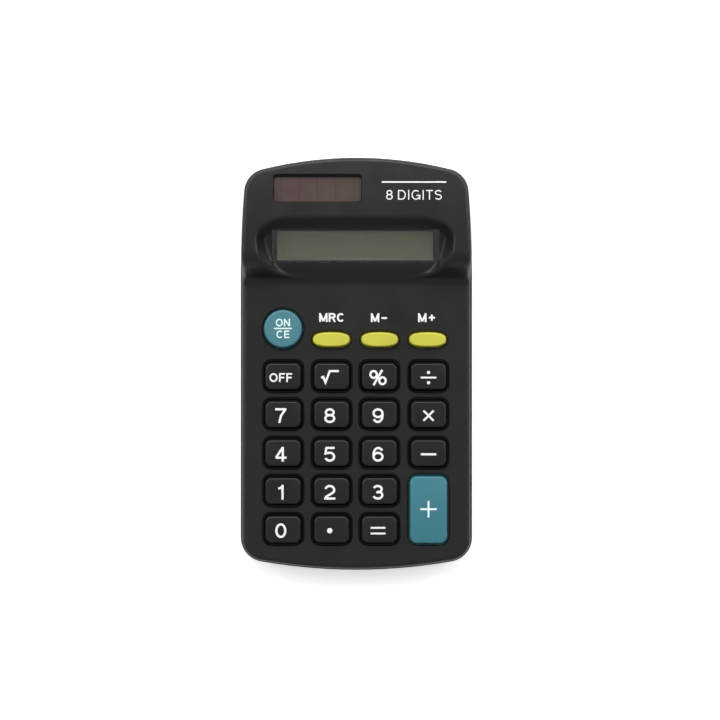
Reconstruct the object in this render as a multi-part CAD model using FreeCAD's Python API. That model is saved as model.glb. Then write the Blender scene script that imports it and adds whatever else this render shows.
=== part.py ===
import FreeCAD, Part
import math
import os
from FreeCAD import Vector

# Pocket calculator with a raised display block, for one AA cell and a solar cell.
# Millimetres.  +X is to the right, +Y towards the display end, +Z out of the keys.
# The origin is the centre of the flat back.

# ---------------------------------------------------------------- driving dimensions
LENGTH = 117.0
HALF_WIDTH = 32.9
BOTTOM_EDGE_R = 156.0          # the bottom end is a shallow arc
TOP_EDGE_R = 109.0             # so is the display end
BOTTOM_CORNER_R = 6.9
TOP_CORNER_R = 7.3
TAPER_START_Y = 26.8           # above this the sides curve gently inwards
TAPER_R = 280.0

WALL = 1.6
RIM_WIDTH = 0.5                # upstanding rim of the rear cover, outside the front cover
RIM_TOP_Z = 6.8
PARTING_Z = 6.0                # ledge that the front cover stands on
FRONT_INSET = 0.65             # front cover's side face, measured in from the outline
FRONT_WALL = 1.8
EDGE_R = 1.2                   # rounded edge round the top of the front cover
BACK_EDGE_R = 1.5

DECK_Z = 11.8
DECK_UNDER_Z = DECK_Z - WALL
BLOCK_TOP_Z = 20.5
BLOCK_TOP_R = 140.0            # the block's top is a shallow arc, highest at BLOCK_PEAK_Y
BLOCK_PEAK_Y = 38.0
BLOCK_FOOT_Y = 23.9            # where the front slope would meet the deck
BLOCK_SLOPE = math.radians(62)
FOOT_R = 3.0
CREST_R = 5.5
CEILING_Z = 18.55

# Dish round the display: the size of its rim at the block's top, and how its walls lean in,
# in millimetres for each one down.
DISH_X = (-27.9, 27.2)
DISH_Y = (19.5, 40.9)
DISH_RIM_Z = 20.4
DISH_WAIST_Y = 35.3            # where the rim is widest
DISH_LOWER_RUN = 14.0          # length along X of the rim's curved corners
DISH_UPPER_RUN = 10.0
DISH_SIDE_LEAN = 0.42
DISH_TOP_LEAN = 0.55
DISH_LOW_LEAN = 0.4
DISH_EDGE_R = 1.0              # rounded rim
DISH_CORNER_R = 1.2            # between the walls and the floor
TUB_WALL = 1.1                 # plastic round the dish
FLOOR_TILT = math.radians(8)
FLOOR_Y = 29.1                 # the floor is FLOOR_Z high here
FLOOR_Z = 14.6
RAMP_TOP_Y = 27.6
RAMP_SLOPE = math.radians(28.3)

# Display
VIEW_X = (-22.3, 21.6)
VIEW_Y = (29.1, 37.4)
WINDOW_X = (-23.9, 23.5)
WINDOW_Y = (28.5, 38.0)
WINDOW_STEP = 0.9
WINDOW_THICK = 0.75
LEDGE_THICK = 0.8
PANEL_X = 25.0
PANEL_Y = (27.3, 37.8)
GLASS_THICK = 1.1
CONTACT_LEDGE = 1.6

# Solar cell
SOLAR_MOUTH_X = (-23.5, 1.7)
SOLAR_MOUTH_Y = (45.1, 54.0)
SOLAR_VIEW_X = (-23.0, 1.3)
SOLAR_VIEW_Y = (45.6, 52.3)
SOLAR_CELL_X = (-23.7, 1.9)
SOLAR_CELL_Y = (44.9, 53.0)
SOLAR_TOP_Z = 18.5
SOLAR_THICK = 1.1
SOLAR_PAD_THICK = 0.6

# Keys
COLUMNS_X = (-20.64, -7.0, 6.5, 20.33)
ROWS_Y = (-3.39, -14.12, -25.0, -35.70, -46.52)
MEMORY_X = (-7.07, 6.56, 20.1)
MEMORY_Y = 6.97
ON_X = -20.7
ON_Y = 10.0
PLUS_Y = -41.07
KEY_TOP_Z = 13.6
KEY_CROWN_R = 70.0
KEY_EDGE_R = 0.45
OVAL_FULLNESS = 2.6            # an ellipse would be 2
KEY_TRAVEL = 1.0
FLANGE_LOW_Z = 9.0
FLANGE_TOP_Z = 10.0
KEY_WALL = 1.05
LIP_R = 0.4                    # rounded lip of each well in the deck

# Board, dome sheet
BOARD_LOW_Z = 4.2
BOARD_TOP_Z = 5.8
BOARD_HALF_X = 30.2
BOARD_Y = (-51.4, 20.4)
SHEET_X = (-27.2, 27.2)
SHEET_Y = (-51.2, 14.3)
SHEET_Z = 5.85
SHEET_THICK = 0.75
DOME_TOP_Z = 8.35
DOME_CEILING_Z = 7.3
DOME_BASE_R = 3.7
DOME_TOP_R = 2.0
PILL_THICK = 0.4
PLUNGER_GAP = 0.1

# AA cell, lying across the display end
CELL_R = 7.25
CELL_LENGTH = 50.5
CELL_NEGATIVE_X = -23.6
CELL_Y = 45.6
CELL_Z = 9.15
NUB_R = 2.75
NUB_LENGTH = 1.35
BAY_HALF_X = 28.4
BAY_LOW_Y = 37.6
BAY_WALL = 0.8
BAY_WALL_TOP_Z = 10.0
BAY_SIDE_END_Y = 46.5

# Door on the back
DOOR_HALF_X = 27.0
DOOR_LOW_Y = 37.5
DOOR_GAP = 0.2
DOOR_THICK = 1.5
TONGUE_DEPTH = 0.6
TONGUE_Z = (0.6, 1.0)

# Screws
CASE_SCREWS = ((-20.0, -53.9), (20.0, -53.9), (-28.0, 24.5), (28.0, 24.5))
BOARD_SCREWS = (
    (-12.9, 15.0), (13.3, 15.0), (-29.0, -14.1), (29.0, -14.1), (-29.0, -46.0), (29.0, -46.0),
)
SCREW_SEAT_Z = 2.2
SCREW_RECESS_R = 2.1
CASE_BOSS_R = 2.1
CASE_PILOT_R = 1.05
BOARD_BOSS_R = 1.55
BOARD_PILOT_R = 0.85
PILOT_TOP_Z = 9.4

# Grip of the battery door
GRIP_COUNT = 7
GRIP_PITCH = 1.6
GRIP_LOW_Y = 42.0
GRIP_HALF_X = 10.0
GRIP_R = 0.5
ARROW_HALF_X = 2.4             # engraved arrow, towards the way the door slides
ARROW_Y = (53.4, 55.8)
ARROW_DEPTH = 0.3

BIG = 80.0                     # reaches past the object on every side
QUARTER_HANDLE = 0.5523        # Bezier handle that makes a quarter of an ellipse


# ---------------------------------------------------------------- shape helpers
def save(name, shape):
    if not shape.isValid():
        print("NOT VALID", name)
    shape.exportStep("parts/" + name + ".step")
    solids = len(shape.Solids)
    print(f"{name:28s} solids {solids:2d}  volume {shape.Volume:9.2f}")


def box(xs, ys, zs):
    size = [b - a for a, b in (xs, ys, zs)]
    return Part.makeBox(*size, Vector(xs[0], ys[0], zs[0]))


def post(x, y, z_low, z_high, radius):
    return Part.makeCylinder(radius, z_high - z_low, Vector(x, y, z_low))


def prism(wire, height):
    return Part.Face(wire).extrude(Vector(0, 0, height))


def tangent_arc(before, corner, after, radius):
    """The arc that rounds a corner: its first, middle and last points."""
    a = (before - corner).normalize()
    b = (after - corner).normalize()
    half = a.getAngle(b) / 2
    reach = radius / math.tan(half)
    centre = corner + (a + b).normalize() * (radius / math.sin(half))
    middle = centre + (corner - centre).normalize() * radius
    return corner + a * reach, middle, corner + b * reach


def rounded_polygon(points, radii, z):
    """Closed wire of lines, with a tangent arc at each corner."""
    corners = [Vector(x, y, z) for x, y in points]
    count = len(corners)
    arcs = [
        tangent_arc(corners[i - 1], corners[i], corners[(i + 1) % count], radii[i])
        for i in range(count)
    ]
    edges = []
    for i, (first, middle, last) in enumerate(arcs):
        edges.append(Part.Arc(first, middle, last).toShape())
        following = arcs[(i + 1) % count][0]
        if (following - last).Length > 1e-6:
            edges.append(Part.LineSegment(last, following).toShape())
    return Part.Wire(edges)


def rounded_rect(x, y, width, height, radius, z):
    w, h = width / 2, height / 2
    corners = [(x - w, y - h), (x + w, y - h), (x + w, y + h), (x - w, y + h)]
    return rounded_polygon(corners, [radius] * 4, z)


def rect_between(xs, ys, radius, z):
    return rounded_rect(sum(xs) / 2, sum(ys) / 2, xs[1] - xs[0], ys[1] - ys[0], radius, z)


def circle_wire(x, y, diameter, z):
    return Part.Wire(Part.makeCircle(diameter / 2, Vector(x, y, z)))


def oval_wire(x, y, width, height, z):
    """Superellipse, a little fuller than an ellipse."""
    power = 2 / OVAL_FULLNESS
    steps = 32
    points = []
    for i in range(steps):
        angle = 2 * math.pi * i / steps
        c, s = math.cos(angle), math.sin(angle)
        px = math.copysign(abs(c) ** power, c) * width / 2
        py = math.copysign(abs(s) ** power, s) * height / 2
        points.append(Vector(x + px, y + py, z))
    curve = Part.BSplineCurve()
    curve.interpolate(points, PeriodicFlag=True)
    return Part.Wire(curve.toShape())


def across(points, half_x):
    """Solid with the given Y, Z outline, extruded along X."""
    corners = [Vector(-half_x, y, z) for y, z in points]
    return Part.Face(Part.makePolygon(corners + corners[:1])).extrude(Vector(2 * half_x, 0, 0))


def pick(shape, test):
    return [e for e in shape.Edges if test(e)]


def middle(edge):
    low, high = edge.ParameterRange
    return edge.valueAt((low + high) / 2)


def is_upright(edge):
    a, b = edge.Vertexes[0].Point, edge.Vertexes[-1].Point
    return math.hypot(a.x - b.x, a.y - b.y) < 1e-3 and abs(a.z - b.z) > 0.5


def tube(points, radius):
    """Round wire along straight runs joined by tangent arcs."""
    route = [Vector(*p) for p in points]
    edges = []
    start = route[0]
    for i in range(1, len(route) - 1):
        before, corner, after = route[i - 1], route[i], route[i + 1]
        half = (before - corner).getAngle(after - corner) / 2
        shorter = min((before - corner).Length, (after - corner).Length)
        first, mid, last = tangent_arc(before, corner, after, 0.45 * shorter * math.tan(half))
        edges.append(Part.LineSegment(start, first).toShape())
        edges.append(Part.Arc(first, mid, last).toShape())
        start = last
    edges.append(Part.LineSegment(start, route[-1]).toShape())
    path = Part.Wire(edges)
    section = Part.Wire(Part.makeCircle(radius, route[0], (route[1] - route[0]).normalize()))
    return path.makePipeShell([section], True, False)


# ---------------------------------------------------------------- plan outline
def side_x(y, inset):
    past = max(y - TAPER_START_Y, 0)
    return HALF_WIDTH - TAPER_R + math.sqrt((TAPER_R - inset) ** 2 - past ** 2)


def end_y(x, radius, inset):
    return LENGTH / 2 - radius + math.sqrt((radius - inset) ** 2 - x ** 2)


def upper_corner(inset):
    y = LENGTH / 2
    for _ in range(20):
        y = end_y(side_x(y, inset), TOP_EDGE_R, inset)
    return side_x(y, inset), y


def outline_wire(inset):
    """The object seen from above, moved in by inset, with its four rounded corners."""
    half_x = HALF_WIDTH - inset
    low_y = -end_y(half_x, BOTTOM_EDGE_R, inset)
    end = LENGTH / 2 - inset
    corner_x, corner_y = upper_corner(inset)
    mid_y = (TAPER_START_Y + corner_y) / 2
    mid_x = side_x(mid_y, inset)
    low_left, low_right = Vector(-half_x, low_y), Vector(half_x, low_y)
    left, right = Vector(-half_x, TAPER_START_Y), Vector(half_x, TAPER_START_Y)
    top_left, top_right = Vector(-corner_x, corner_y), Vector(corner_x, corner_y)
    edges = [
        Part.Arc(low_left, Vector(0, -end), low_right),
        Part.LineSegment(low_right, right),
        Part.Arc(right, Vector(mid_x, mid_y), top_right),
        Part.Arc(top_right, Vector(0, end), top_left),
        Part.Arc(top_left, Vector(-mid_x, mid_y), left),
        Part.LineSegment(left, low_left),
    ]
    slab = prism(Part.Wire([e.toShape() for e in edges]), 1.0)
    lower = pick(slab, lambda e: is_upright(e) and middle(e).y < low_y + 1)
    slab = slab.makeFillet(BOTTOM_CORNER_R - inset, lower)
    upper = pick(slab, lambda e: is_upright(e) and abs(middle(e).y - corner_y) < 0.5)
    slab = slab.makeFillet(TOP_CORNER_R - inset, upper)
    under = min(slab.Faces, key=lambda f: f.CenterOfMass.z)
    return under.OuterWire


def plan_prism(inset, z_low, z_high):
    wire = outline_wire(inset)
    wire.translate(Vector(0, 0, z_low - wire.BoundBox.ZMin))
    return prism(wire, z_high - z_low)


# ---------------------------------------------------------------- front cover
def block_z(y):
    """Height of the block's arched top."""
    return BLOCK_TOP_Z - BLOCK_TOP_R + math.sqrt(BLOCK_TOP_R ** 2 - (y - BLOCK_PEAK_Y) ** 2)


def front_envelope():
    """Deck, slope and block, extruded across and with the foot and crest rounded."""
    crest_y = BLOCK_FOOT_Y + (BLOCK_TOP_Z - DECK_Z - 0.3) / math.tan(BLOCK_SLOPE)
    crest = Vector(-BIG, crest_y, block_z(crest_y))
    end = Vector(-BIG, BIG, block_z(BIG))
    top = Vector(-BIG, BLOCK_PEAK_Y + 20, block_z(BLOCK_PEAK_Y + 20))
    lines = [
        Vector(-BIG, BIG, PARTING_Z), Vector(-BIG, -BIG, PARTING_Z),
        Vector(-BIG, -BIG, DECK_Z), Vector(-BIG, BLOCK_FOOT_Y, DECK_Z), crest,
    ]
    edges = [Part.LineSegment(a, b).toShape() for a, b in zip(lines, lines[1:])]
    edges.append(Part.Arc(crest, top, end).toShape())
    edges.append(Part.LineSegment(end, lines[0]).toShape())
    solid = Part.Face(Part.Wire(edges)).extrude(Vector(2 * BIG, 0, 0))
    foot = pick(solid, lambda e: abs(middle(e).y - BLOCK_FOOT_Y) < 0.1 and abs(middle(e).x) < 1)
    solid = solid.makeFillet(FOOT_R, foot)
    bend = pick(solid, lambda e: abs(middle(e).y - crest_y) < 0.1 and abs(middle(e).x) < 1)
    return solid.makeFillet(CREST_R, bend)


def front_outer():
    body = plan_prism(FRONT_INSET, PARTING_Z + 0.05, BLOCK_TOP_Z + 5).common(front_envelope())
    body = body.Solids[0]
    inside = Part.Face(outline_wire(FRONT_INSET + 0.05))

    def on_rim(edge):
        m = middle(edge)
        at_side = not inside.isInside(Vector(m.x, m.y, 0), 1e-4, True)
        return at_side and m.z > DECK_Z - 0.01 and not is_upright(edge)

    return body.makeFillet(EDGE_R, pick(body, on_rim))


def corner_curve(start, corner, end):
    """Quarter of an ellipse, tangent at both ends to the lines that meet at the corner."""
    curve = Part.BezierCurve()
    reach = QUARTER_HANDLE
    curve.setPoles([start, start + (corner - start) * reach, end + (corner - end) * reach, end])
    return curve.toShape()


def dish_wire(z, grow):
    """Plan of the dish at a height, or with a growth that of the tub that holds it."""
    down = DISH_RIM_Z - z
    left = DISH_X[0] + down * DISH_SIDE_LEAN - grow
    right = DISH_X[1] - down * DISH_SIDE_LEAN + grow
    low = DISH_Y[0] + down * DISH_LOW_LEAN - grow
    top = DISH_Y[1] - down * DISH_TOP_LEAN + grow
    p = {
        "low left": Vector(left + DISH_LOWER_RUN, low, z),
        "low right": Vector(right - DISH_LOWER_RUN, low, z),
        "right": Vector(right, DISH_WAIST_Y, z),
        "top right": Vector(right - DISH_UPPER_RUN, top, z),
        "top left": Vector(left + DISH_UPPER_RUN, top, z),
        "left": Vector(left, DISH_WAIST_Y, z),
    }
    return Part.Wire([
        Part.LineSegment(p["low left"], p["low right"]).toShape(),
        corner_curve(p["low right"], Vector(right, low, z), p["right"]),
        corner_curve(p["right"], Vector(right, top, z), p["top right"]),
        Part.LineSegment(p["top right"], p["top left"]).toShape(),
        corner_curve(p["top left"], Vector(left, top, z), p["left"]),
        corner_curve(p["left"], Vector(left, low, z), p["low left"]),
    ])


def floor_profile(drop):
    """Y, Z corners of everything above the dish's floor: ramp, then the tilted floor."""
    ramp_z = FLOOR_Z + (RAMP_TOP_Y - FLOOR_Y) * math.tan(FLOOR_TILT) - drop
    run = 14.0
    low = (RAMP_TOP_Y - run, ramp_z - run * math.tan(RAMP_SLOPE))
    far = (RAMP_TOP_Y + 20, ramp_z + 20 * math.tan(FLOOR_TILT))
    return [low, (RAMP_TOP_Y, ramp_z), far, (far[0], 30.0), (low[0], 30.0)]


def dish_volume(thick, drop, corner_r):
    """The dish, or with a thickness the tub of material that holds it."""
    low_z, high_z = DECK_Z - drop, BLOCK_TOP_Z + 0.8
    walls = Part.makeLoft([dish_wire(z, thick) for z in (low_z, high_z)], True, True)
    above = across(floor_profile(drop), BIG)
    bend = pick(above, lambda e: abs(middle(e).y - RAMP_TOP_Y) < 1e-3 and middle(e).z < 20)
    above = above.makeFillet(4.0, bend)
    volume = walls.common(above).Solids[0]
    if not corner_r:
        return volume

    def at_floor(e):
        m = middle(e)
        floor_z = FLOOR_Z + (m.y - FLOOR_Y) * math.tan(FLOOR_TILT)
        return m.y > RAMP_TOP_Y + 1 and abs(m.z - floor_z) < 0.05 and not is_upright(e)

    return volume.makeFillet(corner_r, pick(volume, at_floor))


def tilt(shape):
    """Turn a shape modelled flat, with z = 0 on the floor, to the floor's tilt and place."""
    angle = math.degrees(FLOOR_TILT)
    shape.rotate(Vector(0, FLOOR_Y, 0), Vector(1, 0, 0), angle)
    shape.translate(Vector(0, 0, FLOOR_Z))
    return shape


def display_opening():
    """Stepped hole in the dish's floor: window above, view of the panel below."""
    step = prism(rect_between(WINDOW_X, WINDOW_Y, 0.5, -WINDOW_STEP), WINDOW_STEP + 2)
    view = prism(rect_between(VIEW_X, VIEW_Y, 0.3, -5), 6)
    return tilt(step.fuse(view))


def solar_opening():
    top_z = block_z(sum(SOLAR_MOUTH_Y) / 2) + 0.6
    wires = [
        rect_between(SOLAR_VIEW_X, SOLAR_VIEW_Y, 0.8, CEILING_Z),
        rect_between(SOLAR_MOUTH_X, SOLAR_MOUTH_Y, 1.2, top_z),
    ]
    flare = Part.makeLoft(wires, True, True)
    return flare.fuse(prism(rect_between(SOLAR_VIEW_X, SOLAR_VIEW_Y, 0.8, CEILING_Z - 1), 1.2))


def inner_hollow():
    slope_shift = FRONT_WALL / math.sin(BLOCK_SLOPE)

    def inner_y(z):
        return BLOCK_FOOT_Y + (z - DECK_Z) / math.tan(BLOCK_SLOPE) + slope_shift

    profile = [
        (-BIG, 0), (-BIG, DECK_UNDER_Z), (inner_y(DECK_UNDER_Z), DECK_UNDER_Z),
        (inner_y(CEILING_Z), CEILING_Z), (BIG, CEILING_Z), (BIG, 0),
    ]
    plan = plan_prism(FRONT_INSET + FRONT_WALL, 0, BLOCK_TOP_Z)
    return plan.common(across(profile, BIG))


def front_bosses():
    top_z = DECK_UNDER_Z + 0.5
    inside = plan_prism(FRONT_INSET + FRONT_WALL - 0.2, 0, BLOCK_TOP_Z)
    case_low_z, board_low_z = 3.8, BOARD_TOP_Z
    bosses = [post(x, y, case_low_z, top_z, CASE_BOSS_R) for x, y in CASE_SCREWS]
    bosses += [post(x, y, board_low_z, top_z, BOARD_BOSS_R) for x, y in BOARD_SCREWS]
    return [boss.common(inside) for boss in bosses]


def front_screw_holes():
    holes = [post(x, y, 3, PILOT_TOP_Z, CASE_PILOT_R) for x, y in CASE_SCREWS]
    return holes + [post(x, y, 5, PILOT_TOP_Z, BOARD_PILOT_R) for x, y in BOARD_SCREWS]


def front_cover():
    outer = front_outer()
    dish = dish_volume(0, 0, DISH_CORNER_R)
    cover = outer.cut(dish)
    cover = cover.makeFillet(DISH_EDGE_R, dish_rim(cover, outer, dish))
    tub = dish_volume(TUB_WALL, WINDOW_STEP + LEDGE_THICK, 0).common(outer)
    cover = cover.cut(inner_hollow().cut(tub))
    cover = cover.cut(display_opening())
    cover = cover.cut(solar_opening())
    for key in KEYS:
        cover = cover.cut(prism(key.well(DECK_UNDER_Z - 1), 4))
    cover = cover.makeFillet(LIP_R, pick(cover, is_lip))
    for boss in front_bosses():
        cover = cover.fuse(boss)
    for hole in front_screw_holes():
        cover = cover.cut(hole)
    return cover.removeSplitter()


def dish_rim(cover, outer, dish):
    """Edges where the dish's walls meet the block's top and slope."""
    shells = [outer.Shells[0], dish.Shells[0]]

    def on_both(edge):
        point = Part.Vertex(middle(edge))
        return all(shell.distToShape(point)[0] < 1e-3 for shell in shells)

    return pick(cover, lambda e: middle(e).z > DECK_Z + 0.3 and on_both(e))


def is_lip(edge):
    """Edge of a well, on the deck's top face."""
    m = middle(edge)
    flat = all(abs(v.Z - DECK_Z) < 1e-6 for v in edge.Vertexes) and abs(m.z - DECK_Z) < 1e-6
    return flat and any(key.near(m) for key in KEYS)


# ---------------------------------------------------------------- keys
class Key:
    """One key: its place, its kind of outline, and the sizes that follow."""

    def __init__(self, name, x, y, kind):
        self.name, self.x, self.y, self.kind = name, x, y, kind
        sizes = {
            # top, foot of the cap, well in the deck, flange: width, height, corner radius
            "block": ((9.65, 7.1, 1.6), (11.0, 8.6, 2.1), (11.5, 9.2, 2.3), (12.9, 10.0, 2.4)),
            "tall": ((10.2, 18.5, 1.9), (11.1, 19.4, 2.3), (11.6, 20.2, 2.5), (12.9, 20.8, 2.4)),
            "round": ((10.4, 10.4, 0), (11.1, 11.1, 0), (11.6, 11.6, 0), (13.2, 13.2, 0)),
            "oval": ((10.2, 3.9, 0), (10.7, 4.4, 0), (11.2, 4.9, 0), (12.4, 6.0, 0)),
        }
        self.top, self.foot, self.hole, self.flange = sizes[kind]

    def wire(self, size, z):
        width, height, radius = size
        if self.kind == "round":
            return circle_wire(self.x, self.y, width, z)
        if self.kind == "oval":
            return oval_wire(self.x, self.y, width, height, z)
        return rounded_rect(self.x, self.y, width, height, radius, z)

    def well(self, z):
        return self.wire(self.hole, z)

    def near(self, point):
        width, height, _ = self.hole
        return abs(point.x - self.x) < width / 2 + 0.1 and abs(point.y - self.y) < height / 2 + 0.1

    def shrunk(self, wall):
        width, height, radius = self.foot
        return (width - 2 * wall, height - 2 * wall, max(radius - wall, 0.5))

    def solid(self):
        wires = [self.wire(self.foot, FLANGE_TOP_Z), self.wire(self.top, KEY_TOP_Z)]
        cap = Part.makeLoft(wires, True, True)
        crown = Part.makeSphere(KEY_CROWN_R, Vector(self.x, self.y, KEY_TOP_Z - KEY_CROWN_R))
        cap = cap.common(crown).Solids[0]
        edge = pick(cap, lambda e: middle(e).z > KEY_TOP_Z - 1.2 and not self.leans(e))
        cap = cap.makeFillet(KEY_EDGE_R, edge)
        flange = prism(self.wire(self.flange, FLANGE_LOW_Z), FLANGE_TOP_Z - FLANGE_LOW_Z)
        ceiling_z = KEY_TOP_Z - 1.5
        hollow = prism(self.wire(self.shrunk(KEY_WALL), FLANGE_LOW_Z), ceiling_z - FLANGE_LOW_Z)
        plunger_r = 1.0 if self.kind == "oval" else 1.6
        plunger = post(self.x, self.y, DOME_TOP_Z + PLUNGER_GAP, ceiling_z + 0.2, plunger_r)
        return cap.fuse(flange).cut(hollow).fuse(plunger).removeSplitter()

    def leans(self, edge):
        return abs(edge.Vertexes[0].Z - edge.Vertexes[-1].Z) > 1.0


def make_keys():
    rows = (
        ("off", "root", "percent", "divide"),
        ("7", "8", "9", "multiply"),
        ("4", "5", "6", "minus"),
        ("1", "2", "3", None),
        ("0", "point", "equals", None),
    )
    keys = [
        Key("key_" + label, x, y, "block")
        for y, row in zip(ROWS_Y, rows) for x, label in zip(COLUMNS_X, row) if label
    ]
    keys.append(Key("key_plus", COLUMNS_X[-1], PLUS_Y, "tall"))
    keys.append(Key("key_on_ce", ON_X, ON_Y, "round"))
    for x, label in zip(MEMORY_X, ("memory_recall", "memory_minus", "memory_plus")):
        keys.append(Key("key_" + label, x, MEMORY_Y, "oval"))
    return keys


KEYS = make_keys()


# ---------------------------------------------------------------- dome sheet and board
def keypad_sheet():
    sheet = prism(rect_between(SHEET_X, SHEET_Y, 2.0, SHEET_Z), SHEET_THICK)
    for x, y in BOARD_SCREWS:
        sheet = sheet.cut(post(x, y, 0, 10, BOARD_BOSS_R + 0.45))
    top = SHEET_Z + SHEET_THICK
    for key in KEYS:
        at = Vector(key.x, key.y, top - 0.2)
        dome = Part.makeCone(DOME_BASE_R, DOME_TOP_R, DOME_TOP_Z - at.z, at)
        air = Part.makeCone(DOME_BASE_R - 0.5, DOME_TOP_R - 0.1, DOME_CEILING_Z - SHEET_Z,
                            Vector(key.x, key.y, SHEET_Z))
        sheet = sheet.fuse(dome).cut(air)
    return sheet.removeSplitter()


def carbon_pills():
    low = DOME_CEILING_Z - PILL_THICK
    return Part.makeCompound([post(k.x, k.y, low, DOME_CEILING_Z, 1.5) for k in KEYS])


def main_board():
    xs = (-BOARD_HALF_X, BOARD_HALF_X)
    board = prism(rect_between(xs, BOARD_Y, 3.0, BOARD_LOW_Z), BOARD_TOP_Z - BOARD_LOW_Z)
    for x, y in BOARD_SCREWS:
        board = board.cut(post(x, y, 0, 10, 0.95))
    return board


def chip_resin_blob():
    ball = Part.makeSphere(11.0, Vector(0, -10, BOARD_LOW_Z - 1.5 + 11.0))
    return ball.common(box((-10, 10), (-20, 0), (0, BOARD_LOW_Z)))


def electrolytic_capacitor():
    """Lies in front of the board's end, with its two leads bent up into the board."""
    x, y, z, radius, length = 9.0, 22.5, 4.25, 2.5, 7.0
    lead_z = z - 1.1
    can = Part.makeCylinder(radius, length, Vector(x, y, z), Vector(0, 1, 0))
    can = can.makeFillet(0.4, pick(can, lambda e: abs(middle(e).y - y - length) < 0.01))
    for dx in (-1.0, 1.0):
        points = [(x + dx, y + 0.1, lead_z), (x + dx, 18.2, lead_z), (x + dx, 18.2, BOARD_LOW_Z)]
        can = can.fuse(tube(points, 0.25))
    return can


def axial_part(x, y, radius, length):
    """A small component lying along X under the board, with its two bent leads."""
    z = BOARD_LOW_Z - radius - 0.1
    body = Part.makeCylinder(radius, length, Vector(x - length / 2, y, z), Vector(1, 0, 0))
    reach = length / 2 + 1.3
    for side in (-1, 1):
        points = [(x, y, z), (x + side * reach, y, z), (x + side * reach, y, BOARD_LOW_Z)]
        body = body.fuse(tube(points, 0.25))
    return body


def ceramic_capacitor():
    disc = Part.makeCylinder(2.2, 1.6, Vector(14, 6, BOARD_LOW_Z - 1.9))
    disc = disc.makeFillet(0.6, disc.Edges)
    leads = [post(14 + dx, 6, BOARD_LOW_Z - 0.6, BOARD_LOW_Z, 0.25) for dx in (-1.2, 1.2)]
    return disc.fuse(leads[0]).fuse(leads[1])


# ---------------------------------------------------------------- display and solar cell
def display_window():
    top = -0.1
    xs = (WINDOW_X[0] + 0.1, WINDOW_X[1] - 0.1)
    ys = (WINDOW_Y[0] + 0.1, WINDOW_Y[1] - 0.1)
    return tilt(prism(rect_between(xs, ys, 0.4, top - WINDOW_THICK), WINDOW_THICK))


PANEL_TOP = -(WINDOW_STEP + LEDGE_THICK) - 0.25      # below the floor, measured square to it


def lcd_panel():
    xs = (-PANEL_X, PANEL_X)
    front = box(xs, PANEL_Y, (PANEL_TOP - GLASS_THICK, PANEL_TOP))
    rear_ys = (PANEL_Y[0] + CONTACT_LEDGE, PANEL_Y[1])
    rear = box(xs, rear_ys, (PANEL_TOP - 2 * GLASS_THICK, PANEL_TOP - GLASS_THICK))
    return tilt(front.fuse(rear).removeSplitter())


def lcd_film(z_low, z_high):
    xs = (-PANEL_X + 0.8, PANEL_X - 0.8)
    ys = (PANEL_Y[0] + CONTACT_LEDGE + 0.2, PANEL_Y[1] - 0.4)
    return tilt(box(xs, ys, (z_low, z_high)))


def lcd_end_clips():
    clips = []
    low = PANEL_TOP - 2 * GLASS_THICK
    for side in (-1, 1):
        xs = sorted((side * (PANEL_X - 1.0), side * (PANEL_X + 1.3)))
        clip = box(xs, (PANEL_Y[0] + 0.5, PANEL_Y[1] - 0.3), (low - 1.0, PANEL_TOP))
        gap_xs = sorted((side * (PANEL_X - 2.0), side * (PANEL_X + 0.05)))
        slot = box(gap_xs, (PANEL_Y[0] - 1, PANEL_Y[1] + 1), (low - 0.3, PANEL_TOP + 1))
        clips.append(tilt(clip.cut(slot)))
    return Part.makeCompound(clips)


def lcd_ribbon():
    """Thin printed film from the panel's contact ledge down to the board's end."""
    ledge_z = FLOOR_Z + PANEL_TOP - GLASS_THICK - 0.35
    route = [
        (28.6, ledge_z), (27.2, ledge_z - 0.2), (24.0, 8.6), (21.3, 6.3), (20.0, 5.95), (17.0, 5.95),
    ]
    thick = 0.12
    upper = [(y, z + thick) for y, z in reversed(route)]
    return across(route + upper, 21.5)


def solar_cell():
    return box(SOLAR_CELL_X, SOLAR_CELL_Y, (SOLAR_TOP_Z - SOLAR_THICK, SOLAR_TOP_Z))


def solar_cell_pad():
    xs = (SOLAR_CELL_X[0] + 3, SOLAR_CELL_X[1] - 3)
    high = SOLAR_TOP_Z - SOLAR_THICK
    return box(xs, (SOLAR_CELL_Y[0] + 1, SOLAR_CELL_Y[1] - 1), (high - SOLAR_PAD_THICK, high))


# ---------------------------------------------------------------- rear cover and door
def rear_outer():
    body = plan_prism(0, 0, RIM_TOP_Z)
    back = pick(body, lambda e: abs(middle(e).z) < 1e-6)
    body = body.makeFillet(BACK_EDGE_R, back)
    rim = pick(body, lambda e: abs(middle(e).z - RIM_TOP_Z) < 1e-6)
    return body.makeFillet(RIM_WIDTH - 0.15, rim)


def door_space(gap, z_high):
    xs = (-DOOR_HALF_X - gap, DOOR_HALF_X + gap)
    return box(xs, (DOOR_LOW_Y - gap, BIG), (-1, z_high))


def tongue_space(gap):
    xs = (-DOOR_HALF_X - TONGUE_DEPTH - gap, DOOR_HALF_X + TONGUE_DEPTH + gap)
    return box(xs, (DOOR_LOW_Y + 1.5 - gap, BIG), (TONGUE_Z[0] - gap, TONGUE_Z[1] + gap))


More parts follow.
